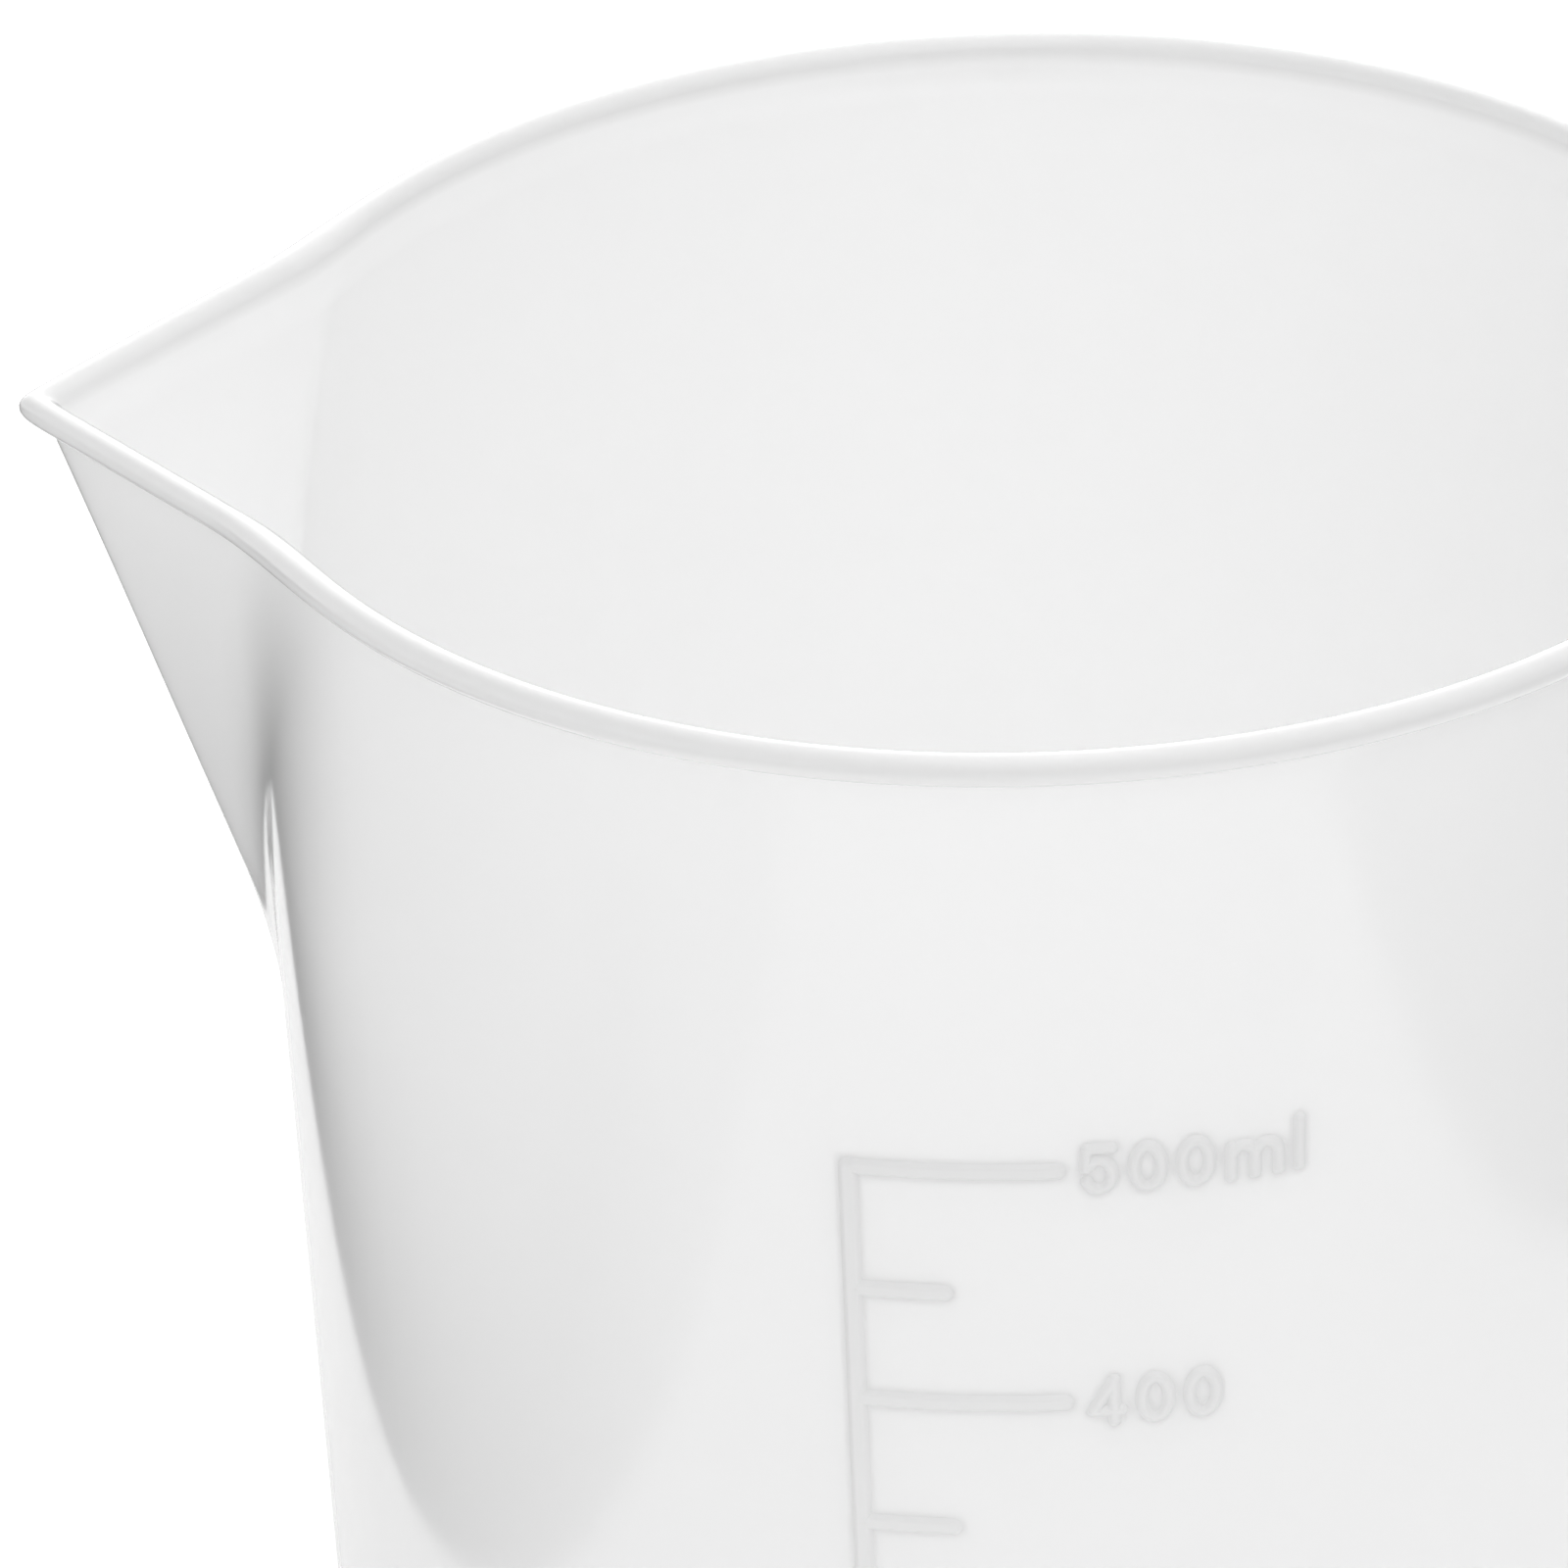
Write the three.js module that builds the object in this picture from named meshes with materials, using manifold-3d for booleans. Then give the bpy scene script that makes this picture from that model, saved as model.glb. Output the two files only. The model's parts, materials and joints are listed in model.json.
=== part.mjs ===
// A 500 ml low-form laboratory beaker, moulded in one shot from natural polypropylene.
//
// Units are millimetres. +Z is up, the origin is on the axis at the plane the beaker stands on, the
// pouring spout points along -X and the moulded scale faces -Y.
//
// The beaker body is a turned profile whose upper wall is pushed out into a triangular spout. The
// scale is raised relief: a spine, ten ticks and their labels, each drawn flat and then bent round
// the tapered wall.

import * as THREE from "three";
import { mergeVertices } from "three/addons/utils/BufferGeometryUtils.js";
import Module from "manifold-3d";

const wasm = await Module();
wasm.setup();

// ---------------------------------------------------------------- driving dimensions

// Vessel
const FREEBOARD = 28.6; // top mark of the scale to the top of the rim
const RIM_WALL_RADIUS = 47.5; // outer face of the wall, carried up to the rim plane
const DRAFT = THREE.MathUtils.degToRad(2.7); // taper of the wall from the vertical
const WALL = 1.3; // wall thickness, measured level
const FLOOR = 2; // underside of the base panel to the inside floor

// Base
const FOOT_RECESS = 0.6; // how far the base panel stands clear of the table
const FOOT_WIDTH = 3.6; // width of the flat ring that the beaker stands on
const HEEL_RADIUS = 3.5; // outer corner between the foot and the wall
const INNER_HEEL_RADIUS = 3; // inner corner between the floor and the wall

// Rim
const BEAD_PROUD = 1.05; // how far the bead stands out from the wall
const BEAD_DEPTH = 2.3; // top of the rim to the underside of the bead
const BEAD_SHOULDER = 0.74; // how far the bead still stands out at its underside
const BEAD_FILLET = 0.9; // height of the slope that runs the bead out into the wall
const LAND_DEPTH = 3.2; // top of the rim to the foot of the inner bevel
const LAND_SETBACK = 0.35; // how far the inner bevel opens out at the top

// Spout
const SPOUT_REACH = 12; // overhang of the spout's outer wall at the rim plane
const SPOUT_DEPTH = 39.8; // rim plane down to where the ridge runs out into the wall
const SPOUT_HALF_ANGLE = THREE.MathUtils.degToRad(50.8); // ridge line to either flank, in plan
const RIDGE_RADIUS = 1.4; // rounding of the spout's ridge, in plan
const OUTER_BLEND = 1.9; // reach of the fillet where the flanks leave the wall, outside
const INNER_BLEND = 0.6; // the same crease inside, which is almost sharp
const SPOUT_DROOP = 0.36; // how far the spout's tip hangs below the rim plane
const DROOP_DEPTH = 12; // depth below the rim at which the droop has faded out

// Scale
const MAJOR_VOLUMES = [500, 400, 300, 200, 100]; // millilitres, long ticks with a label
const MINOR_VOLUMES = [450, 350, 250, 150, 50]; // millilitres, short ticks
const MINOR_DROP = 0.45; // short ticks sit this much below their true level
const SPINE_ANGLE = THREE.MathUtils.degToRad(-101.9); // about +Z, where -90 degrees faces -Y
const SPINE_TAIL = 4; // how far the spine runs on below the lowest tick
const LINE_WIDTH = 1; // spine and ticks
const MAJOR_LENGTH = 12.25; // long tick, from the edge of the spine
const MINOR_LENGTH = 5.35; // short tick, from the edge of the spine
const RELIEF = 0.4; // how far the scale stands out from the wall
const SEAT_GAP = 0.05; // between the wall and the back of each mark
const SPINE_GAP = 0.08; // between the spine and the end of each tick

// Lettering
const LABEL_GAP = 0.9; // end of a long tick to its first digit
const DIGIT_HEIGHT = 3.5;
const DIGIT_WIDTH = 2.3;
const DIGIT_GAP = 0.58;
const STROKE = 0.65;
const UNIT_GAP = 0.7; // last digit to the "m", and the "m" to the "l"
const UNIT_M_WIDTH = 3.5;
const UNIT_M_HEIGHT = 2.7;
const UNIT_L_HEIGHT = 3.9;

// Facets
const BEAD_STEPS = 6; // round the top of the bead
const HEEL_STEPS = 4; // round each corner of the base
const SPOUT_ROWS = 9; // down the wall beside the spout
const GLYPH_STEPS = 7; // along a curved pen stroke
const BAR_STEP = 2; // length of one facet along a tick or the spine

// ---------------------------------------------------------------- working values

const TAPER = Math.tan(DRAFT);
const INSIDE_FLOOR = FOOT_RECESS + FLOOR;
const CAPACITY = Math.max(...MAJOR_VOLUMES);
const CUBIC_MM_PER_ML = 1000;

// Volume in millilitres that the tapered bore holds between two depths below the rim.
function volumeBetween(shallow, deep) {
  const wide = RIM_WALL_RADIUS - TAPER * shallow - WALL;
  const narrow = RIM_WALL_RADIUS - TAPER * deep - WALL;
  const meanSquare = (wide * wide + wide * narrow + narrow * narrow) / 3;
  return (Math.PI * (deep - shallow) * meanSquare) / CUBIC_MM_PER_ML;
}

// The beaker is as deep as it must be to hold its capacity below the top mark. The volume grows
// steadily with the depth, so a few rounds of Newton's method find it.
function floorDepth() {
  let depth = FREEBOARD;
  for (let round = 0; round < 12; round += 1) {
    const bore = RIM_WALL_RADIUS - TAPER * depth - WALL;
    const missing = (CAPACITY - volumeBetween(FREEBOARD, depth)) * CUBIC_MM_PER_ML;
    depth += missing / (Math.PI * bore * bore);
  }
  return depth;
}

const FLOOR_DEPTH = floorDepth();
const HEIGHT = FLOOR_DEPTH + INSIDE_FLOOR; // standing plane to the top of the rim

// Radius of the outer face of the wall at a height.
function wallRadius(z) {
  return RIM_WALL_RADIUS - TAPER * (HEIGHT - z);
}

// Height at which the beaker holds a volume, by the same method.
function levelOf(volume) {
  let depth = FLOOR_DEPTH;
  for (let round = 0; round < 12; round += 1) {
    const bore = RIM_WALL_RADIUS - TAPER * depth - WALL;
    const missing = (volume - volumeBetween(depth, FLOOR_DEPTH)) * CUBIC_MM_PER_ML;
    depth -= missing / (Math.PI * bore * bore);
  }
  return HEIGHT - depth;
}

// ---------------------------------------------------------------- materials

// Natural polypropylene: milky, half-gloss, slightly see-through in thin sections.
function naturalPolypropylene() {
  return new THREE.MeshStandardMaterial({
    color: 0xf1f2f2,
    roughness: 0.34,
    metalness: 0,
    transparent: true,
    opacity: 0.93,
  });
}

// The same plastic on the raised marks, which the mould leaves a little duller.
function raisedPolypropylene() {
  return new THREE.MeshStandardMaterial({ color: 0xe6e8e8, roughness: 0.42, metalness: 0 });
}

// ---------------------------------------------------------------- beaker body

// Points on an arc of the turned profile, as [radius, height] pairs.
function profileArc(centreR, centreZ, radius, from, to, steps) {
  return Array.from({ length: steps + 1 }, (_, i) => {
    const angle = from + ((to - from) * i) / steps;
    return [centreR + radius * Math.cos(angle), centreZ + radius * Math.sin(angle)];
  });
}

// Heights of the rows down the wall beside the spout, closer together near the run-out.
function spoutRows(top) {
  const bottom = HEIGHT - SPOUT_DEPTH - OUTER_BLEND;
  return Array.from({ length: SPOUT_ROWS }, (_, i) => {
    const share = i / (SPOUT_ROWS - 1);
    return bottom + (top - bottom) * share ** 1.25;
  });
}

// The foot: a recessed panel, a flat standing ring and the rounded heel, from the axis outwards.
function footProfile() {
  const heelZ = HEEL_RADIUS;
  const heelR = wallRadius(heelZ) - HEEL_RADIUS / Math.cos(DRAFT);
  const ringInner = heelR - FOOT_WIDTH;
  return [
    [0, FOOT_RECESS],
    [ringInner - FOOT_RECESS, FOOT_RECESS],
    [ringInner, 0],
    ...profileArc(heelR, heelZ, HEEL_RADIUS, -Math.PI / 2, -DRAFT, HEEL_STEPS),
  ];
}

// The rim: bead, rounded top and the bevel that opens out inside.
function rimProfile() {
  const beadR = RIM_WALL_RADIUS + BEAD_PROUD;
  const landR = RIM_WALL_RADIUS - WALL + LAND_SETBACK;
  const topRadius = (beadR - landR) / 2;
  const underside = HEIGHT - BEAD_DEPTH;
  const runOut = underside - BEAD_FILLET;
  return [
    [wallRadius(runOut), runOut],
    [wallRadius(underside) + BEAD_SHOULDER, underside],
    ...profileArc(landR + topRadius, HEIGHT - topRadius, topRadius, 0, Math.PI, BEAD_STEPS),
    [wallRadius(HEIGHT - LAND_DEPTH) - WALL, HEIGHT - LAND_DEPTH],
  ];
}

// The inside, from the foot of the rim's bevel down to the middle of the floor.
function insideProfile() {
  const rows = spoutRows(HEIGHT - LAND_DEPTH).reverse().slice(1);
  const cornerZ = INSIDE_FLOOR + INNER_HEEL_RADIUS;
  const cornerR = wallRadius(cornerZ) - WALL - INNER_HEEL_RADIUS;
  return [
    ...rows.map((z) => [wallRadius(z) - WALL, z]),
    ...profileArc(cornerR, cornerZ, INNER_HEEL_RADIUS, 0, -Math.PI / 2, HEEL_STEPS),
    [0, INSIDE_FLOOR],
  ];
}

function bodyProfile() {
  const outside = spoutRows(HEIGHT - BEAD_DEPTH - BEAD_FILLET).slice(0, -1);
  return [
    ...footProfile(),
    ...outside.map((z) => [wallRadius(z), z]),
    ...rimProfile(),
    ...insideProfile(),
  ].map(([radius, z]) => new THREE.Vector2(radius, z));
}

// Angles away from the spout, in degrees: fine round its ridge, fair on its flanks, plain beyond.
function facetAngles() {
  const ridge = [0, 0.5, 1, 1.6, 2.4, 3.4];
  const flank = Array.from({ length: 17 }, (_, i) => 5 + 1.5 * i);
  const rest = Array.from({ length: 30 }, (_, i) => 34 + 5 * i);
  return [...ridge, ...flank, ...rest].map(THREE.MathUtils.degToRad);
}

// All the angles in order, once round from the spout's ridge.
function facetRing() {
  const half = facetAngles();
  const back = half.slice(1).reverse().map((angle) => 2 * Math.PI - angle);
  return [...half, ...back];
}

// The larger of two radii, with a fillet of the given reach where they cross.
function blendedMax(a, b, reach) {
  const closeness = Math.max(reach - Math.abs(a - b), 0) / reach;
  return Math.max(a, b) + (closeness * closeness * reach) / 4;
}

// Radius of a point of the profile once the spout is pushed out, at an angle from its ridge. The
// spout's two flanks are upright planes in plan, and each layer of the wall stays parallel to them.
function spoutRadius(radius, z, angle) {
  const offset = radius - wallRadius(z);
  const depth = HEIGHT - z;
  const ridge = wallRadius(z) + SPOUT_REACH * (1 - depth / SPOUT_DEPTH);
  const rounding = RIDGE_RADIUS * (1 / Math.sin(SPOUT_HALF_ANGLE) - 1);
  const soften = (rounding * Math.tan(SPOUT_HALF_ANGLE)) / ridge;
  const turn = Math.min(Math.hypot(angle, soften) + SPOUT_HALF_ANGLE, Math.PI / 2);
  const apex = ridge + offset / Math.sin(SPOUT_HALF_ANGLE);
  const flank = (apex * Math.sin(SPOUT_HALF_ANGLE)) / Math.sin(turn);
  const outward = THREE.MathUtils.clamp(1 + offset / WALL, 0, 1);
  const reach = INNER_BLEND + (OUTER_BLEND - INNER_BLEND) * outward;
  return blendedMax(radius, flank, reach);
}

// How far a point of the rim hangs down once it has been pushed out into the spout.
function droopOf(push, z) {
  const share = THREE.MathUtils.clamp(push / SPOUT_REACH, 0, 1);
  const nearRim = THREE.MathUtils.clamp(1 - (HEIGHT - z) / DROOP_DEPTH, 0, 1);
  return SPOUT_DROOP * share * nearRim;
}

// Turns the profile, then moves every vertex to its own facet angle and out into the spout.
function bodyGeometry() {
  const ring = facetRing();
  const profile = bodyProfile();
  const lathe = new THREE.LatheGeometry(profile, ring.length);
  const position = lathe.attributes.position;
  for (let i = 0; i < position.count; i += 1) {
    const [radius, z] = profile[i % profile.length].toArray();
    const angle = ring[Math.floor(i / profile.length) % ring.length];
    const fromRidge = Math.min(angle, 2 * Math.PI - angle);
    const pushed = z > INSIDE_FLOOR ? spoutRadius(radius, z, fromRidge) : radius;
    const height = z - droopOf(pushed - radius, z);
    position.setXYZ(i, -pushed * Math.cos(angle), -pushed * Math.sin(angle), height);
  }
  lathe.deleteAttribute("normal");
  lathe.deleteAttribute("uv");
  const merged = mergeVertices(withoutFlatTriangles(lathe), 1e-4);
  merged.computeVertexNormals();
  return merged;
}

// Drops the triangles that have no area, which a lathe makes where its profile meets the axis.
function withoutFlatTriangles(geometry) {
  const position = geometry.attributes.position;
  const corner = (index) => new THREE.Vector3().fromBufferAttribute(position, index);
  const source = Array.from(geometry.index.array);
  const kept = [];
  for (let i = 0; i < source.length; i += 3) {
    const indices = source.slice(i, i + 3);
    const area = new THREE.Triangle(...indices.map(corner)).getArea();
    if (area > 1e-6) {
      kept.push(...indices);
    }
  }
  geometry.setIndex(kept);
  return geometry;
}

// ---------------------------------------------------------------- raised scale

// Bends a flat mark round the wall. Its x runs along the wall to the reader's right, its y runs up
// and its z stands out from the wall.
function bentOntoWall(geometry, startAngle, level) {
  const position = geometry.attributes.position;
  for (let i = 0; i < position.count; i += 1) {
    const z = level + position.getY(i);
    const angle = startAngle + position.getX(i) / wallRadius(z);
    const radius = wallRadius(z) + SEAT_GAP + position.getZ(i);
    position.setXYZ(i, radius * Math.cos(angle), radius * Math.sin(angle), z);
  }
  geometry.computeVertexNormals();
  return geometry;
}

// A bar of the scale, lying from x = start to x = start + length and centred on y = 0.
function barGeometry(start, length, width) {
  const across = Math.max(1, Math.ceil(length / BAR_STEP));
  const depth = RELIEF - SEAT_GAP;
  const box = new THREE.BoxGeometry(length, width, depth, across, 1, 1);
  return box.translate(start + length / 2, 0, depth / 2);
}

// The upright line that joins the ticks, running up to the top edge of the highest one.
function spineGeometry(topLevel, bottomLevel) {
  const top = topLevel + LINE_WIDTH / 2;
  const length = top - bottomLevel;
  const depth = RELIEF - SEAT_GAP;
  const rows = Math.ceil(length / BAR_STEP);
  const box = new THREE.BoxGeometry(LINE_WIDTH, length, depth, 1, rows, 1);
  box.translate(0, length / 2, depth / 2);
  return bentOntoWall(box, SPINE_ANGLE, bottomLevel);
}

function tickGeometry(level, length) {
  const start = LINE_WIDTH / 2 + SPINE_GAP;
  return bentOntoWall(barGeometry(start, length, LINE_WIDTH), SPINE_ANGLE, level);
}

// ---------------------------------------------------------------- lettering

// A pen stroke along a straight line, as a flat shape.
function lineStroke(fromX, fromY, toX, toY) {
  const along = new THREE.Vector2(toX - fromX, toY - fromY).normalize();
  const aside = new THREE.Vector2(-along.y, along.x).multiplyScalar(STROKE / 2);
  return new THREE.Shape([
    new THREE.Vector2(fromX, fromY).sub(aside),
    new THREE.Vector2(toX, toY).sub(aside),
    new THREE.Vector2(toX, toY).add(aside),
    new THREE.Vector2(fromX, fromY).add(aside),
  ]);
}

// A pen stroke along part of an ellipse, anticlockwise between two angles in degrees.
function arcStroke(centreX, centreY, radiusX, radiusY, fromDegrees, toDegrees) {
  const from = THREE.MathUtils.degToRad(fromDegrees);
  const to = THREE.MathUtils.degToRad(toDegrees);
  const half = STROKE / 2;
  const shape = new THREE.Shape();
  shape.absellipse(centreX, centreY, radiusX + half, radiusY + half, from, to, false);
  shape.absellipse(centreX, centreY, radiusX - half, radiusY - half, to, from, true);
  return shape;
}

const MID = STROKE / 2; // the pen's centre line runs this far inside a glyph's box
const RIGHT = DIGIT_WIDTH - MID;
const TOP = DIGIT_HEIGHT - MID;
const CENTRE = DIGIT_WIDTH / 2;
const LOOP_X = CENTRE - MID; // half-width of a round digit's centre line

// A round digit is one closed loop of the pen.
function zeroStrokes() {
  const middle = DIGIT_HEIGHT / 2;
  const loop = new THREE.Shape();
  loop.absellipse(CENTRE, middle, CENTRE, middle, 0, 2 * Math.PI, false);
  const inside = new THREE.Path();
  inside.absellipse(CENTRE, middle, CENTRE - STROKE, middle - STROKE, 0, 2 * Math.PI, true);
  loop.holes.push(inside);
  return [loop];
}

function oneStrokes() {
  return [
    lineStroke(CENTRE, 0, CENTRE, DIGIT_HEIGHT),
    lineStroke(CENTRE - 0.85, TOP - 0.65, CENTRE + 0.1, TOP + 0.05),
  ];
}

function twoStrokes() {
  const bowlY = TOP - LOOP_X;
  return [
    arcStroke(CENTRE, bowlY, LOOP_X, LOOP_X, -35, 170),
    lineStroke(CENTRE + 0.8 * LOOP_X, bowlY - 0.45, MID, MID),
    lineStroke(0, MID, DIGIT_WIDTH, MID),
  ];
}

function threeStrokes() {
  const bowl = (TOP - MID) / 4;
  return [
    arcStroke(CENTRE, TOP - bowl, LOOP_X, bowl, -90, 160),
    arcStroke(CENTRE, MID + bowl, LOOP_X, bowl, -160, 90),
    lineStroke(CENTRE - 0.4, DIGIT_HEIGHT / 2, CENTRE + 0.1, DIGIT_HEIGHT / 2),
  ];
}

function fourStrokes() {
  const stemX = 0.68 * DIGIT_WIDTH;
  const barY = 0.3 * DIGIT_HEIGHT;
  return [
    lineStroke(stemX, 0, stemX, DIGIT_HEIGHT),
    lineStroke(0, barY, DIGIT_WIDTH, barY),
    lineStroke(MID * 0.8, barY - 0.1, stemX - 0.05, TOP + 0.1),
  ];
}

function fiveStrokes() {
  const bowl = 0.3 * DIGIT_HEIGHT;
  return [
    lineStroke(MID, TOP, DIGIT_WIDTH - 0.1, TOP),
    lineStroke(MID + 0.05, TOP + MID, MID, 0.48 * DIGIT_HEIGHT),
    arcStroke(CENTRE - 0.05, MID + bowl - 0.02, LOOP_X, bowl - 0.1, -160, 140),
  ];
}

function unitMStrokes() {
  const arch = (UNIT_M_WIDTH - STROKE) / 4;
  const archY = UNIT_M_HEIGHT - MID - arch;
  const stems = [0, 1, 2].map((i) => MID + 2 * arch * i);
  return [
    lineStroke(stems[0], 0, stems[0], UNIT_M_HEIGHT),
    lineStroke(stems[1], 0, stems[1], archY + 0.05),
    lineStroke(stems[2], 0, stems[2], archY + 0.05),
    arcStroke(stems[0] + arch, archY, arch, arch, 0, 180),
    arcStroke(stems[1] + arch, archY, arch, arch, 0, 180),
  ];
}

function unitLStrokes() {
  return [lineStroke(MID, 0, MID, UNIT_L_HEIGHT)];
}

const STROKES = {
  0: zeroStrokes,
  1: oneStrokes,
  2: twoStrokes,
  3: threeStrokes,
  4: fourStrokes,
  5: fiveStrokes,
  m: unitMStrokes,
  l: unitLStrokes,
};

// A flat shape as a solid, ready to be joined to others.
function strokeSolid(shape) {
  const options = {
    depth: RELIEF - SEAT_GAP,
    bevelEnabled: false,
    curveSegments: GLYPH_STEPS,
  };
  const geometry = new THREE.ExtrudeGeometry(shape, options);
  geometry.deleteAttribute("normal");
  geometry.deleteAttribute("uv");
  const merged = mergeVertices(geometry, 1e-5);
  return new wasm.Manifold(
    new wasm.Mesh({
      numProp: 3,
      vertProperties: merged.attributes.position.array,
      triVerts: new Uint32Array(merged.index.array),
    }),
  );
}

// The joined strokes of one character, flat, with its lower left corner at the origin.
function glyphGeometry(character) {
  const solids = STROKES[character]().map(strokeSolid);
  const joined = solids.reduce((whole, next) => whole.add(next));
  const mesh = joined.getMesh();
  const geometry = new THREE.BufferGeometry();
  geometry.setAttribute("position", new THREE.BufferAttribute(mesh.vertProperties, 3));
  geometry.setIndex(new THREE.BufferAttribute(mesh.triVerts, 1));
  return geometry;
}

// ---------------------------------------------------------------- assembly

const beaker = new THREE.Group();
const scale = new THREE.Group();
beaker.add(scale);

function addPart(parent, name, geometry, material) {
  const mesh = new THREE.Mesh(geometry, material);
  mesh.name = name;
  parent.add(mesh);
}

// Adds one character of a label, with its left edge a distance along the wall from the spine.
function addGlyph(name, character, along, level) {
  const glyph = glyphGeometry(character);
  glyph.translate(along, -DIGIT_HEIGHT / 2, 0);
  addPart(scale, name, bentOntoWall(glyph, SPINE_ANGLE, level), raisedPolypropylene());
}

// Adds the digits of a long tick's label, and returns where the last one ends.
function addDigits(volume, level) {
  const start = LINE_WIDTH / 2 + SPINE_GAP + MAJOR_LENGTH + LABEL_GAP;
  const pitch = DIGIT_WIDTH + DIGIT_GAP;
  const digits = [...String(volume)];
  digits.forEach((digit, i) => {
    addGlyph(`label_${volume}_digit_${i + 1}`, digit, start + i * pitch, level);
  });
  return start + (digits.length - 1) * pitch + DIGIT_WIDTH;
}

function addUnit(volume, level, labelEnd) {
  const startM = labelEnd + UNIT_GAP;
  const startL = startM + UNIT_M_WIDTH + UNIT_GAP;
  addGlyph(`label_${volume}_unit_m`, "m", startM, level);
  addGlyph(`label_${volume}_unit_l`, "l", startL, level);
}

addPart(beaker, "beaker_body", bodyGeometry(), naturalPolypropylene());

for (const volume of MAJOR_VOLUMES) {
  const level = levelOf(volume);
  addPart(scale, `tick_${volume}`, tickGeometry(level, MAJOR_LENGTH), raisedPolypropylene());
  const labelEnd = addDigits(volume, level);
  if (volume === MAJOR_VOLUMES[0]) {
    addUnit(volume, level, labelEnd);
  }
}

for (const volume of MINOR_VOLUMES) {
  const level = levelOf(volume) - MINOR_DROP;
  addPart(scale, `tick_${volume}`, tickGeometry(level, MINOR_LENGTH), raisedPolypropylene());
}

const spineTop = levelOf(Math.max(...MAJOR_VOLUMES));
const spineBottom = levelOf(Math.min(...MINOR_VOLUMES)) - MINOR_DROP - SPINE_TAIL;
addPart(scale, "scale_spine", spineGeometry(spineTop, spineBottom), raisedPolypropylene());

export default beaker;
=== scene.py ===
"""A 500 ml polypropylene beaker: its looks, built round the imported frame. Lengths are in metres."""

import json
import math

import bpy
import numpy as np
from mathutils import Matrix, Vector


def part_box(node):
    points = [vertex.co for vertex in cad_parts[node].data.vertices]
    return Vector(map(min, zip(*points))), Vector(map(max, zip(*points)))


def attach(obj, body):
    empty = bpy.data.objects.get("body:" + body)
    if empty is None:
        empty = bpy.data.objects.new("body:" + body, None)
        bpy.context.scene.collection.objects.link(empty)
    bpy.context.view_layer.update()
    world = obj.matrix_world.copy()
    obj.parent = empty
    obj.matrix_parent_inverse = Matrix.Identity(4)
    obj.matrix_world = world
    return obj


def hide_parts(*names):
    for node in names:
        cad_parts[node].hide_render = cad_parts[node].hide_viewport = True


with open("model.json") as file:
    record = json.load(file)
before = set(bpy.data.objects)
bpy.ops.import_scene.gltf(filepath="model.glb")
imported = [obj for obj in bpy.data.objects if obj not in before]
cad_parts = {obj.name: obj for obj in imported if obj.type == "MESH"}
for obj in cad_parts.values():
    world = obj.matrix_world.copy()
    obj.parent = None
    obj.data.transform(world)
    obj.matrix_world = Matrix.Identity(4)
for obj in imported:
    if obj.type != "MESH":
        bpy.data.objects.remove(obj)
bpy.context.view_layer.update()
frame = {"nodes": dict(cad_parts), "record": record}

MM = 0.001

# ------------------------------------------------------------------ sizes

MOUNTS = {mount["name"]: mount["pos_m"] for mount in frame["record"]["mounts"]}
BODY_LOW, BODY_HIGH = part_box("beaker_body")

HEIGHT = BODY_HIGH.z  # standing plane to the top of the rim
RECESS = MOUNTS["base_panel"][2]  # the base panel's clearance to the table
INSIDE_FLOOR = MOUNTS["inside_floor"][2]

BEAD_PROUD = 1.05 * MM  # how far the rim bead stands out from the wall
RIM_WALL_RADIUS = BODY_HIGH.x - BEAD_PROUD
TAPER = math.tan(math.radians(2.7))
WALL = 1.3 * MM

FOOT_WIDTH = 3.6 * MM
HEEL_RADIUS = 3.5 * MM
INNER_HEEL_RADIUS = 3 * MM

BEAD_RADIUS = 1.02 * MM  # rounding of the bead
BEAD_DEPTH = 2.3 * MM  # rim to the underside of the bead
LAND_DEPTH = 3.2 * MM  # rim to the foot of the inner bevel
LAND_SETBACK = 0.35 * MM

SPOUT_REACH = 12 * MM
SPOUT_DEPTH = 39.8 * MM
SPOUT_HALF_ANGLE = math.radians(50.8)
RIDGE_RADIUS = 1.4 * MM
OUTER_BLEND = 1.9 * MM
INNER_BLEND = 0.45 * MM
SPOUT_DROOP = 0.36 * MM
DROOP_DEPTH = 12 * MM

RELIEF = 0.3 * MM  # how far the marks stand out from the wall: 0.4 mm in CAD, lower here to look as soft
SINK = 0.12 * MM  # how far the foot of each mark reaches into the wall
MARK_EDGE = 0.27 * MM  # half the width of a mark's rounded flank
MARK_BACK = 0.1 * MM  # thickness of a mark below its foot

LINE_WIDTH = 1 * MM  # ticks and spine
STROKE = 0.65 * MM  # pen width of the digits and the unit
GLYPH_CELL = 0.07 * MM  # grid of the digits, and of the ticks and spine across their width
CELL_ALONG_TICK = 0.12 * MM
CELL_ALONG_SPINE = 0.3 * MM

STRAIGHT_ROWS = 20  # rows of the wall's mesh below the spout
SPOUT_ROWS = 45  # rows of the wall's mesh beside the spout


def wall_radius(z):
    """Radius of the wall's outer face at a height."""
    return RIM_WALL_RADIUS - TAPER * (HEIGHT - z)


# ------------------------------------------------------------------ mesh helpers


def mesh_object(name, vertices, faces):
    """A smooth-shaded mesh object from arrays."""
    mesh = bpy.data.meshes.new(name)
    mesh.from_pydata([tuple(v) for v in vertices], [], faces)
    mesh.validate()
    mesh.shade_smooth()
    made = bpy.data.objects.new(name, mesh)
    bpy.context.scene.collection.objects.link(made)
    return made


def arc(centre_r, centre_z, radius, start, end, steps):
    """Points of an arc in the turned section, angles in degrees."""
    angles = np.radians(np.linspace(start, end, steps + 1))
    return [(centre_r + radius * math.cos(a), centre_z + radius * math.sin(a)) for a in angles]


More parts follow.
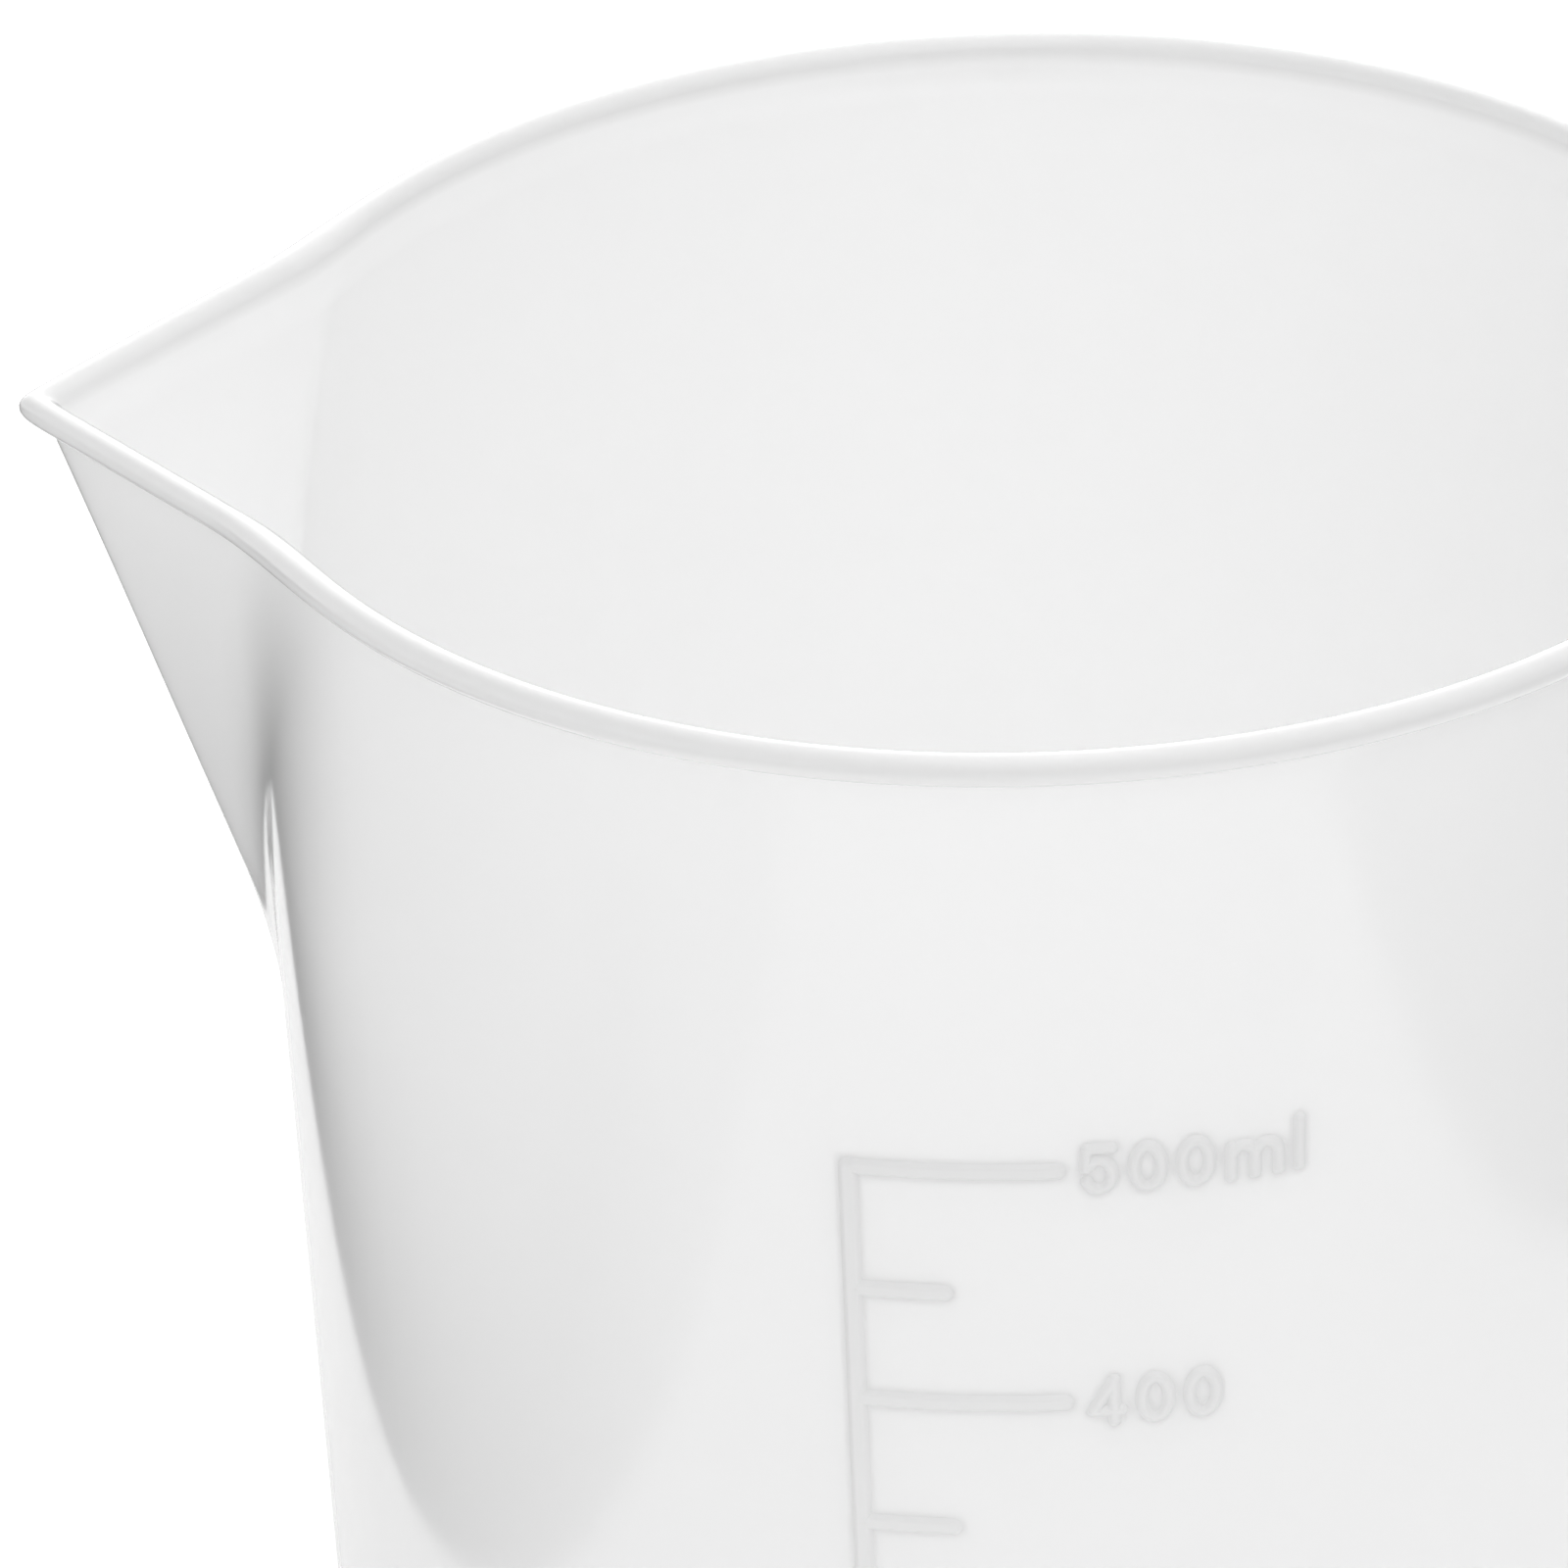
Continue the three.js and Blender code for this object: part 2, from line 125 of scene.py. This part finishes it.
def line(start, end, steps):
    """Evenly spaced points from start up to, but not including, end."""
    share = np.arange(steps) / steps
    return [(start[0] + (end[0] - start[0]) * s, start[1] + (end[1] - start[1]) * s) for s in share]


# ------------------------------------------------------------------ beaker body


def foot_section():
    """Base panel, foot ring and heel, from the axis outwards."""
    heel_r = wall_radius(HEEL_RADIUS) - HEEL_RADIUS
    ring = heel_r - FOOT_WIDTH
    edge = 0.25 * MM
    return [
        (0.0, RECESS),
        *line((2 * MM, RECESS), (ring - RECESS - edge, RECESS), 12),
        (ring - RECESS - edge, RECESS),
        (ring - RECESS, RECESS - 0.3 * edge),
        (ring - 0.3 * edge, edge),
        (ring + edge, 0.0),
        *line((ring + 2 * edge, 0.0), (heel_r, 0.0), 4),
        *arc(heel_r, HEEL_RADIUS, HEEL_RADIUS, -90, -2.7, 14),
    ]


def outer_wall_section():
    """The straight outer face up to the fillet under the bead."""
    start = (wall_radius(HEEL_RADIUS), HEEL_RADIUS)
    spout_z = HEIGHT - SPOUT_DEPTH
    top_z = HEIGHT - BEAD_DEPTH - 0.6 * MM
    middle, top = (wall_radius(spout_z), spout_z), (wall_radius(top_z), top_z)
    return [*line(start, middle, STRAIGHT_ROWS)[1:], *line(middle, top, SPOUT_ROWS)]


def rim_section():
    """Fillet, bead, rounded top and the bevel that opens out inside."""
    centre_r = RIM_WALL_RADIUS + BEAD_PROUD - BEAD_RADIUS
    centre_z = HEIGHT - BEAD_RADIUS
    fillet = 0.62 * MM
    under_r = wall_radius(HEIGHT - BEAD_DEPTH) + fillet
    under_z = HEIGHT - BEAD_DEPTH - 0.12 * MM
    land_r = RIM_WALL_RADIUS - WALL + LAND_SETBACK
    inner_radius = centre_r - land_r
    foot = (wall_radius(HEIGHT - LAND_DEPTH) - WALL, HEIGHT - LAND_DEPTH)
    return [
        *arc(under_r, under_z, fillet, 180, 112, 6),
        *arc(centre_r, centre_z, BEAD_RADIUS, -58, 90, 22),
        *arc(centre_r, HEIGHT - inner_radius, inner_radius, 90, 172, 12)[1:],
        *line((land_r + 0.02 * MM, HEIGHT - inner_radius - 0.15 * MM), foot, 4),
        foot,
    ]


def inner_section():
    """The inside, from the foot of the bevel down to the middle of the floor."""
    corner_z = INSIDE_FLOOR + INNER_HEEL_RADIUS
    corner_r = wall_radius(corner_z) - WALL - INNER_HEEL_RADIUS
    top_z = HEIGHT - LAND_DEPTH - 0.4 * MM
    spout_z = HEIGHT - SPOUT_DEPTH
    top, middle = (wall_radius(top_z) - WALL, top_z), (wall_radius(spout_z) - WALL, spout_z)
    return [
        *line(top, middle, SPOUT_ROWS),
        *line(middle, (corner_r + INNER_HEEL_RADIUS, corner_z), STRAIGHT_ROWS),
        *arc(corner_r, corner_z, INNER_HEEL_RADIUS, 0, -90, 12),
        *line((corner_r - 1 * MM, INSIDE_FLOOR), (0.0, INSIDE_FLOOR), 12),
        (0.0, INSIDE_FLOOR),
    ]


def blended_max(a, b, reach):
    """The larger of two radii, with a fillet of the given reach where they cross."""
    closeness = np.maximum(reach - np.abs(a - b), 0) / reach
    return np.maximum(a, b) + closeness**2 * reach / 4


def pushed_into_spout(radius, z, angle):
    """Radius and height of the section's points once the spout is pushed out."""
    offset = radius - wall_radius(z)
    depth = HEIGHT - z
    ridge = wall_radius(z) + SPOUT_REACH * (1 - depth / SPOUT_DEPTH)
    sine = math.sin(SPOUT_HALF_ANGLE)
    soften = RIDGE_RADIUS * (1 / sine - 1) * math.tan(SPOUT_HALF_ANGLE) / ridge
    turn = np.minimum(np.hypot(angle, soften) + SPOUT_HALF_ANGLE, math.pi / 2)
    flank = (ridge + offset / sine) * sine / np.sin(turn)
    outward = np.clip(1 + offset / WALL, 0, 1)
    reach = INNER_BLEND + (OUTER_BLEND - INNER_BLEND) * outward
    pushed = np.where(z > INSIDE_FLOOR, blended_max(radius, flank, reach), radius)
    share = np.clip((pushed - radius) / SPOUT_REACH, 0, 1)
    near_rim = np.clip(1 - depth / DROOP_DEPTH, 0, 1)
    return pushed, z - SPOUT_DROOP * share * near_rim


def ring_angles():
    """Angles from the spout's ridge, once round: fine at the spout and 1.6 degrees apart elsewhere."""
    half = np.concatenate([np.arange(0, 4, 0.2), np.arange(4, 32, 0.5), np.arange(32, 180, 1.6)])
    return np.radians(np.concatenate([half, [180], 360 - half[:0:-1]]))


def body_mesh():
    section = np.array([*foot_section(), *outer_wall_section(), *rim_section(), *inner_section()])
    angles = ring_angles()
    radius, z = section[1:-1, 0], section[1:-1, 1]
    from_ridge = np.minimum(angles, 2 * math.pi - angles)
    pushed, height = pushed_into_spout(radius[:, None], z[:, None], from_ridge[None, :])
    grid = np.stack([-pushed * np.cos(angles), -pushed * np.sin(angles), height], axis=-1)
    rows, columns = pushed.shape
    vertices = np.vstack([grid.reshape(-1, 3), [(0, 0, section[0, 1])], [(0, 0, section[-1, 1])]])
    under, inside = rows * columns, rows * columns + 1
    faces = []
    for column in range(columns):
        following = (column + 1) % columns
        faces.append((under, following, column))
        last = (rows - 1) * columns
        faces.append((inside, last + column, last + following))
        for row in range(rows - 1):
            a, b = row * columns, (row + 1) * columns
            faces.append((a + column, a + following, b + following, b + column))
    return mesh_object("vessel", vertices, faces)


# ------------------------------------------------------------------ raised scale


def distance_to_segment(x, y, segment):
    """Distance from each point of a grid to a straight pen stroke."""
    (ax, ay), (bx, by) = segment
    along_x, along_y = bx - ax, by - ay
    share = ((x - ax) * along_x + (y - ay) * along_y) / (along_x**2 + along_y**2)
    share = np.clip(share, 0, 1)
    return np.hypot(x - ax - share * along_x, y - ay - share * along_y)


def curve_segments(centre_x, centre_y, radius_x, radius_y, start, end):
    """A pen stroke along part of an ellipse, as short straight ones. Angles in degrees."""
    steps = max(4, int(abs(end - start) / 7))
    angles = np.radians(np.linspace(start, end, steps + 1))
    points = [(centre_x + radius_x * math.cos(a), centre_y + radius_y * math.sin(a)) for a in angles]
    return list(zip(points[:-1], points[1:]))


def mark_mesh(name, segments, half_width, cell, start_angle, level):
    """Raised relief round the pen strokes, bent on to the wall, as one closed solid."""
    reach = half_width + MARK_EDGE
    ends = np.array([point for segment in segments for point in segment])
    margin = reach + 0.05 * MM
    low, high = ends.min(0) - margin, ends.max(0) + margin
    counts = np.maximum(np.ceil((high - low) / np.array(cell)).astype(int), 4)
    xs = np.linspace(low[0], high[0], counts[0] + 1)
    ys = np.linspace(low[1], high[1], counts[1] + 1)
    x, y = np.meshgrid(xs, ys, indexing="ij")
    distance = np.min([distance_to_segment(x, y, segment) for segment in segments], axis=0)
    share = np.clip((distance - half_width + MARK_EDGE) / (2 * MARK_EDGE), 0, 1)
    stand = RELIEF - (RELIEF + SINK) * share * share * (3 - 2 * share)
    solid = distance < reach
    cells = solid[:-1, :-1] | solid[1:, :-1] | solid[:-1, 1:] | solid[1:, 1:]
    return bent_solid(name, x, y, stand, cells, start_angle, level)


def bent_solid(name, x, y, stand, cells, start_angle, level):
    """Closes the kept cells with a back and sides, and bends them on to the wall."""
    number = np.full(x.shape, -1)
    used = np.zeros(x.shape, dtype=bool)
    for di, dj in ((0, 0), (1, 0), (1, 1), (0, 1)):
        used[di : di + cells.shape[0], dj : dj + cells.shape[1]] |= cells
    number[used] = np.arange(used.sum())
    top_count = int(used.sum())
    front = on_wall(x[used], y[used], stand[used], start_angle, level)
    back = on_wall(x[used], y[used], np.full(top_count, -SINK - MARK_BACK), start_angle, level)
    faces = []
    for i, j in zip(*np.nonzero(cells)):
        corners = (number[i, j], number[i + 1, j], number[i + 1, j + 1], number[i, j + 1])
        corners = tuple(int(c) for c in corners)
        faces.append(corners)
        faces.append(tuple(c + top_count for c in reversed(corners)))
        sides = ((i, j - 1), (i + 1, j), (i, j + 1), (i - 1, j))
        for side, (ni, nj) in enumerate(sides):
            inside = 0 <= ni < cells.shape[0] and 0 <= nj < cells.shape[1] and cells[ni, nj]
            if not inside:
                a, b = corners[side], corners[(side + 1) % 4]
                faces.append((b, a, a + top_count, b + top_count))
    return mesh_object(name, np.vstack([front, back]), faces)


def on_wall(x, y, stand, start_angle, level):
    """Bends flat points round the tapered wall: x to the right, y up, stand outwards."""
    z = level + y
    angle = start_angle + x / wall_radius(z)
    radius = wall_radius(z) + stand
    return np.stack([radius * np.cos(angle), radius * np.sin(angle), z], axis=-1)


def place_of(node):
    """The angle and height of a CAD node's centre."""
    low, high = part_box(node)
    centre = (low + high) / 2
    return math.atan2(centre.y, centre.x), centre.z


def node_width(node):
    """Length of a CAD node round the wall, measured along it."""
    points = [v.co for v in frame["nodes"][node].data.vertices]
    angles = [math.atan2(p.y, p.x) for p in points]
    middle = sum(p.z for p in points) / len(points)
    return min(angles), (max(angles) - min(angles)) * wall_radius(middle)


# Strokes of each character in a box of the given width and height, pen inset by half its stroke.
def zero_strokes(width, height):
    inset = STROKE / 2
    return curve_segments(width / 2, height / 2, width / 2 - inset, height / 2 - inset, 0, 360)


def one_strokes(width, height):
    x = width - STROKE / 2
    top = height - STROKE / 2
    return [((x, STROKE / 2), (x, top)), ((x - 0.8 * MM, top - 0.62 * MM), (x, top))]


def two_strokes(width, height):
    inset = STROKE / 2
    loop = width / 2 - inset
    bowl_y = height - inset - loop
    bowl = curve_segments(width / 2, bowl_y, loop, loop, -35, 170)
    foot = [(bowl[0][0], (inset, inset)), ((inset, inset), (width - inset, inset))]
    return bowl + foot


def three_strokes(width, height):
    inset = STROKE / 2
    loop = width / 2 - inset
    bowl = (height - STROKE) / 4
    upper = curve_segments(width / 2, height - inset - bowl, loop * 0.92, bowl, -90, 155)
    lower = curve_segments(width / 2, inset + bowl, loop, bowl, -155, 90)
    return upper + lower


def four_strokes(width, height):
    inset = STROKE / 2
    stem_x, bar_y = 0.68 * width, 0.3 * height
    top = (stem_x, height - inset)
    return [
        ((stem_x, inset), top),
        ((inset, bar_y), (width - inset, bar_y)),
        ((inset, bar_y), top),
    ]


def five_strokes(width, height):
    inset = STROKE / 2
    loop, bowl = width / 2 - inset, 0.29 * height
    corner = (inset + 0.12 * MM, height - inset)
    waist = (inset, 0.52 * height)
    bow = curve_segments(width / 2, inset + bowl, loop, bowl, 150, -155)
    return [(corner, (width - inset, height - inset)), (corner, waist), (waist, bow[0][0])] + bow


def m_strokes(width, height):
    inset = STROKE / 2
    arch = (width - STROKE) / 4
    arch_y = height - inset - arch
    stems = [inset + 2 * arch * i for i in range(3)]
    strokes = [((stems[0], inset), (stems[0], height - inset))]
    strokes += [((x, inset), (x, arch_y)) for x in stems[1:]]
    for x in stems[:2]:
        strokes += curve_segments(x + arch, arch_y, arch, arch, 0, 180)
    return strokes


def l_strokes(width, height):
    return [((width / 2, STROKE / 2), (width / 2, height - STROKE / 2))]


DIGIT_STROKES = {
    "0": zero_strokes,
    "1": one_strokes,
    "2": two_strokes,
    "3": three_strokes,
    "4": four_strokes,
    "5": five_strokes,
}


def bar_piece(node):
    """A tick of the scale, with rounded ends."""
    start, width = node_width(node)
    _, level = place_of(node)
    half = LINE_WIDTH / 2
    segment = ((-0.2 * MM, 0.0), (width - half, 0.0))
    return mark_mesh(f"{node}_relief", [segment], half, (CELL_ALONG_TICK, GLYPH_CELL), start, level)


def spine_piece(node):
    """The upright line that the ticks stand on."""
    start, width = node_width(node)
    low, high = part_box(node)
    half = width / 2
    segment = ((half, half), (half, high.z - low.z - half))
    return mark_mesh(f"{node}_relief", [segment], half, (GLYPH_CELL, CELL_ALONG_SPINE), start, low.z)


def glyph_piece(node, strokes):
    """One raised character, filling the box of its CAD node."""
    start, width = node_width(node)
    low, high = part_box(node)
    segments = strokes(width, high.z - low.z)
    cell = (GLYPH_CELL, GLYPH_CELL)
    return mark_mesh(f"{node}_relief", segments, STROKE / 2, cell, start, low.z)


def strokes_of(node):
    """The stroke function of a label's node, read from its name."""
    _, volume, kind, which = node.split("_")
    if kind == "unit":
        return m_strokes if which == "m" else l_strokes
    return DIGIT_STROKES[volume[int(which) - 1]]


def scale_pieces():
    """Every mark of the scale, by the CAD node that it stands for."""
    made = {"scale_spine": spine_piece("scale_spine")}
    for node in frame["nodes"]:
        if node.startswith("tick_"):
            made[node] = bar_piece(node)
        if node.startswith("label_"):
            made[node] = glyph_piece(node, strokes_of(node))
    return made


# ------------------------------------------------------------------ materials

PLASTIC_IOR = 1.49
SOAK_SHARE = 0.4  # share of the light that comes out of the plastic's other side


class NodeTree:
    """Short forms for building the nodes of a material or a world."""

    def __init__(self, owner):
        owner.use_nodes = True
        self.nodes = owner.node_tree.nodes
        self.links = owner.node_tree.links

    def add(self, kind, **inputs):
        node = self.nodes.new(kind)
        for key, value in inputs.items():
            node.inputs[key.replace("_", " ")].default_value = value
        return node

    def link(self, source, target):
        self.links.new(source, target)

    def feed(self, value, socket):
        """Gives a socket another node's output, a number or a plain colour."""
        if isinstance(value, bpy.types.NodeSocket):
            self.link(value, socket)
        elif isinstance(value, tuple):
            socket.default_value = (*value, 1)
        else:
            socket.default_value = value

    def math(self, operation, first, second, clamp=False):
        node = self.nodes.new("ShaderNodeMath")
        node.operation = operation
        node.use_clamp = clamp
        self.feed(first, node.inputs[0])
        self.feed(second, node.inputs[1])
        return node.outputs["Value"]

    def ramp(self, value, start, end, low=0.0, high=1.0, interpolation="LINEAR"):
        """Low at the value's start, high at its end, and held beyond them."""
        node = self.add("ShaderNodeMapRange", From_Min=start, From_Max=end, To_Min=low, To_Max=high)
        node.interpolation_type = interpolation
        self.link(value, node.inputs["Value"])
        return node.outputs["Result"]

    def axes(self, vector):
        """The X, Y and Z sockets of a vector."""
        parts = self.nodes.new("ShaderNodeSeparateXYZ")
        self.link(vector, parts.inputs["Vector"])
        return parts.outputs


class MaterialTree(NodeTree):
    """The nodes of a new material, with its Principled shader and the place on the object."""

    def __init__(self, name):
        self.material = bpy.data.materials.new(name)
        super().__init__(self.material)
        self.shader = self.nodes["Principled BSDF"]
        self.position = self.add("ShaderNodeTexCoord").outputs["Object"]

    def noise(self, scale, detail):
        """Noise in object space. The scale is in features per metre."""
        texture = self.add("ShaderNodeTexNoise", Scale=scale, Detail=detail)
        self.link(self.position, texture.inputs["Vector"])
        return texture.outputs["Fac"]

    def tone(self, share, dark, light):
        """A colour that drifts between two tones, each a plain colour or a socket."""
        mix = self.nodes.new("ShaderNodeMix")
        mix.data_type = "RGBA"
        self.link(share, mix.inputs["Factor"])
        self.feed(dark, mix.inputs["A"])
        self.feed(light, mix.inputs["B"])
        return mix.outputs["Result"]

    def bump(self, height, distance, strength, below=None):
        node = self.add("ShaderNodeBump", Distance=distance, Strength=strength)
        self.link(height, node.inputs["Height"])
        if below is not None:
            self.link(below, node.inputs["Normal"])
        return node.outputs["Normal"]

    def backfacing(self):
        return self.nodes.new("ShaderNodeNewGeometry").outputs["Backfacing"]

    def mixed(self, share, first, second):
        """The first shader, with a share of the second."""
        mix = self.nodes.new("ShaderNodeMixShader")
        self.feed(share, mix.inputs[0])
        self.link(first, mix.inputs[1])
        self.link(second, mix.inputs[2])
        return mix.outputs["Shader"]

    def show(self, shader):
        """Makes this the shader that the surface shows."""
        self.link(shader, self.nodes["Material Output"].inputs["Surface"])


def vessel_material():
    """Milky polypropylene: light soaks through it, and its skin is faintly rippled by the mould."""
    tree = MaterialTree("natural_polypropylene")
    shader = tree.shader
    shader.inputs["IOR"].default_value = PLASTIC_IOR
    milk = tree.tone(tree.noise(35, 3), (0.98, 0.98, 0.98), (0.99, 0.99, 0.99))
    # The top of the bead is painted darker (0.87): painted shade, not a colour of the plastic.
    colour = tree.tone(painted_rim_shade(tree), milk, (0.87, 0.87, 0.87))
    tree.link(colour, shader.inputs["Base Color"])
    polish = tree.ramp(tree.noise(140, 4), 0, 1, 0.07, 0.12)
    tree.link(polish, shader.inputs["Roughness"])
    ripple = tree.bump(tree.noise(90, 2), 0.02 * MM, 0.35)
    peel = tree.bump(tree.noise(1400, 2), 0.004 * MM, 0.4, ripple)
    tree.link(peel, shader.inputs["Normal"])
    tree.show(glossy_skin(tree, soaked_through(tree, colour), polish, peel))
    return tree.material


def painted_rim_shade(tree):
    """1 in the top of the bead and 0 below it: painted shade, a darker tone standing for less light coming
    through the bead's thicker section.
    """
    z = tree.axes(tree.position)["Z"]
    return tree.ramp(z, HEIGHT - 1.7 * MM, HEIGHT - 0.9 * MM)


def soaked_through(tree, colour):
    """Lets some of the light that falls on the plastic come out of its other side."""
    glow = tree.nodes.new("ShaderNodeBsdfTranslucent")
    tree.link(colour, glow.inputs["Color"])
    return tree.mixed(SOAK_SHARE, tree.shader.outputs["BSDF"], glow.outputs["BSDF"])


def glossy_skin(tree, below, roughness, normal):
    """Mirrors more and more towards a grazing view, on the outside of the plastic only."""
    skin = tree.nodes.new("ShaderNodeBsdfGlossy")
    tree.link(roughness, skin.inputs["Roughness"])
    tree.link(normal, skin.inputs["Normal"])
    fresnel = tree.add("ShaderNodeFresnel", IOR=PLASTIC_IOR).outputs["Fac"]
    outside = tree.math("SUBTRACT", fresnel, tree.backfacing(), clamp=True)
    return tree.mixed(outside, below, skin.outputs["BSDF"])


def scale_material():
    """The same plastic on the raised marks, a little duller from the engraved mould, and painted darker
    than the wall as painted shade.
    """
    tree = MaterialTree("raised_polypropylene")
    shader = tree.shader
    shader.inputs["IOR"].default_value = PLASTIC_IOR
    # A darker base colour than the wall's: painted shade on the marks, not a colour of the plastic.
    colour = tree.tone(tree.noise(60, 3), (0.83, 0.83, 0.83), (0.86, 0.86, 0.86))
    tree.link(colour, shader.inputs["Base Color"])
    tree.link(tree.ramp(tree.noise(900, 3), 0, 1, 0.3, 0.42), shader.inputs["Roughness"])
    tree.link(tree.bump(tree.noise(2500, 2), 0.006 * MM, 0.5), shader.inputs["Normal"])
    return tree.material


def dressed(piece, material):
    piece.data.materials.clear()
    piece.data.materials.append(material)


# ------------------------------------------------------------------ studio


FLOOR_GLOW = 0.45
# The dimmer glow round the foot is a painted shadow.
FOOT_PAINTED_SHADOW_GLOW = 0.35  # the floor's glow close round the beaker's foot
LEFT_GLOW, RIGHT_GLOW, FRONT_GLOW = 0.72, 0.4, 1.0  # glow of the cards around it

LEFT_EDGE, RIGHT_EDGE, FRONT_EDGE = -0.11, 0.15, -0.15  # edges of the cards beside the beaker
CARD_END, CARD_BACK = 0.9, 0.6  # how far the cards reach out, and back
CARD_Z = 0.5 * MM

# Brightness of the room on each side: at the horizon, and overhead.
ROOM = {"front": (0.15, 1.3), "back": (3.3, 2.2), "left": (1.2, 0.0), "right": (0.65, 1.4)}
SIDE_TURN = 0.667  # sine of the direction's turn from front or back where a side has all the light


def glowing_tree(name, grey, roughness):
    """A matt surface that glows white."""
    tree = MaterialTree(name)
    for socket, value in (
        ("Base Color", (grey, grey, grey)),
        ("Roughness", roughness),
        ("Specular IOR Level", 0.0),
        ("Emission Color", (1, 1, 1)),
    ):
        tree.feed(value, tree.shader.inputs[socket])
    return tree


def floor_material():
    """A pale light table: it glows, less round the beaker's foot as a painted shadow, and still takes a
    soft shadow.
    """
    tree = glowing_tree("light_table", 0.6, 0.9)
    distance = tree.nodes.new("ShaderNodeVectorMath")
    distance.operation = "LENGTH"
    tree.link(tree.position, distance.inputs[0])
    # Glow lowered near the foot: a painted shadow round the beaker.
    glow = tree.ramp(distance.outputs["Value"], 0.06, 0.13, FOOT_PAINTED_SHADOW_GLOW, FLOOR_GLOW)
    tree.link(glow, tree.shader.inputs["Emission Strength"])
    return tree.material


def card_tree(name):
    """A dark card that glows upwards, and is clear from below, so the floor stays lit under it."""
    tree = glowing_tree(name, 0.02, 1.0)
    clear = tree.nodes.new("ShaderNodeBsdfTransparent").outputs["BSDF"]
    tree.show(tree.mixed(tree.backfacing(), tree.shader.outputs["BSDF"], clear))
    return tree


def plain_card(name, glow):
    tree = card_tree(name)
    tree.shader.inputs["Emission Strength"].default_value = glow
    return tree.material


def dark_edged_card(name, glow):
    """Dark along its edge beside the beaker and behind it, and paler to the left and to the front."""
    tree = card_tree(name)
    x, y, _ = tree.axes(tree.position)

    def fade(value, start, end):
        return tree.ramp(value, start, end, 0.0, glow, "SMOOTHSTEP")

    beside = tree.math("MINIMUM", fade(x, -0.112, -0.18), fade(y, 0.15, 0.04))
    strength = tree.math("MAXIMUM", beside, fade(y, -0.02, -0.14))
    tree.link(strength, tree.shader.inputs["Emission Strength"])
    return tree.material


def staged_rectangle(name, x_range, y_range, z, material):
    """A flat piece of the studio, facing up."""
    corners = [(x_range[i], y_range[j], z) for i, j in ((0, 0), (1, 0), (1, 1), (0, 1))]
    made = mesh_object(name, corners, [(0, 1, 2, 3)])
    dressed(made, material)
    return made


def build_studio():
    """A light table, with cards on it that light the beaker and are hidden from the camera."""
    staged_rectangle("floor", (-4, 4), (-4, 4), 0, floor_material())
    beside = (-CARD_END, CARD_BACK)
    left = dark_edged_card("left_card", LEFT_GLOW)
    right = plain_card("right_card", RIGHT_GLOW)
    front = plain_card("front_card", FRONT_GLOW)
    for name, x_range, y_range, material in (
        ("left_card", (-CARD_END, LEFT_EDGE), beside, left),
        ("right_card", (RIGHT_EDGE, CARD_END), beside, right),
        ("front_card", (LEFT_EDGE, RIGHT_EDGE), (-CARD_END, FRONT_EDGE), front),
    ):
        card = staged_rectangle(name, x_range, y_range, CARD_Z, material)
        card.visible_camera = False
    build_world()


def build_world():
    """Light from all round the room, strongest low down behind the beaker."""
    world = bpy.data.worlds.new("studio")
    bpy.context.scene.world = world
    tree = NodeTree(world)
    x, y, z = tree.axes(tree.nodes.new("ShaderNodeTexCoord").outputs["Generated"])
    left, right = tree.ramp(x, 0.0, -SIDE_TURN), tree.ramp(x, 0.0, SIDE_TURN)
    middle = tree.math("SUBTRACT", tree.math("SUBTRACT", 1.0, left), right)
    shares = {
        "front": tree.math("MULTIPLY", middle, tree.ramp(y, 1.0, -1.0)),
        "back": tree.math("MULTIPLY", middle, tree.ramp(y, -1.0, 1.0)),
        "left": left,
        "right": right,
    }
    total = 0.0
    for side, (horizon, overhead) in ROOM.items():
        light = tree.math("MULTIPLY", shares[side], tree.ramp(z, 0.0, 1.0, horizon, overhead))
        total = tree.math("ADD", light, total)
    background = tree.nodes["Background"]
    tree.link(total, background.inputs["Strength"])
    background.inputs["Color"].default_value = (1, 1, 1, 1)


# ------------------------------------------------------------------ camera


def build_camera():
    """A long lens that looks down over the rim, a little from the spout's side."""
    distance = 1.294
    elevation, azimuth = math.radians(27.07), math.radians(2.0)
    pan, tilt, roll = 0.0113, -0.0184, 0.0238
    rim_centre = Vector((0, 0, HEIGHT))
    level = distance * math.cos(elevation)
    above = distance * math.sin(elevation)
    offset = Vector((level * math.sin(azimuth), -level * math.cos(azimuth), above))
    facing = (-offset).to_track_quat("-Z", "Y").to_matrix().to_4x4()
    turned = Matrix.Rotation(pan, 4, "Y") @ Matrix.Rotation(tilt, 4, "X")
    aim = turned @ Matrix.Rotation(-roll, 4, "Z")
    data = bpy.data.cameras.new("camera")
    data.lens = 494.5
    data.sensor_width = 36
    data.clip_start, data.clip_end = 0.05, 20
    camera = bpy.data.objects.new("camera", data)
    bpy.context.scene.collection.objects.link(camera)
    camera.matrix_world = Matrix.Translation(rim_centre + offset) @ facing @ aim
    bpy.context.scene.camera = camera


# ------------------------------------------------------------------ the beaker

build_camera()
build_studio()
bpy.context.scene.view_settings.view_transform = "Standard"

# Light crosses the milky wall many times before it comes out.
tracer = bpy.context.scene.cycles
tracer.max_bounces = 24
tracer.diffuse_bounces = tracer.glossy_bounces = tracer.transmission_bounces = 16

vessel = body_mesh()
dressed(vessel, vessel_material())
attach(vessel, "root")
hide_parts("beaker_body")

raised = scale_material()
for node, piece in scale_pieces().items():
    dressed(piece, raised)
    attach(piece, "root")
    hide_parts(node)
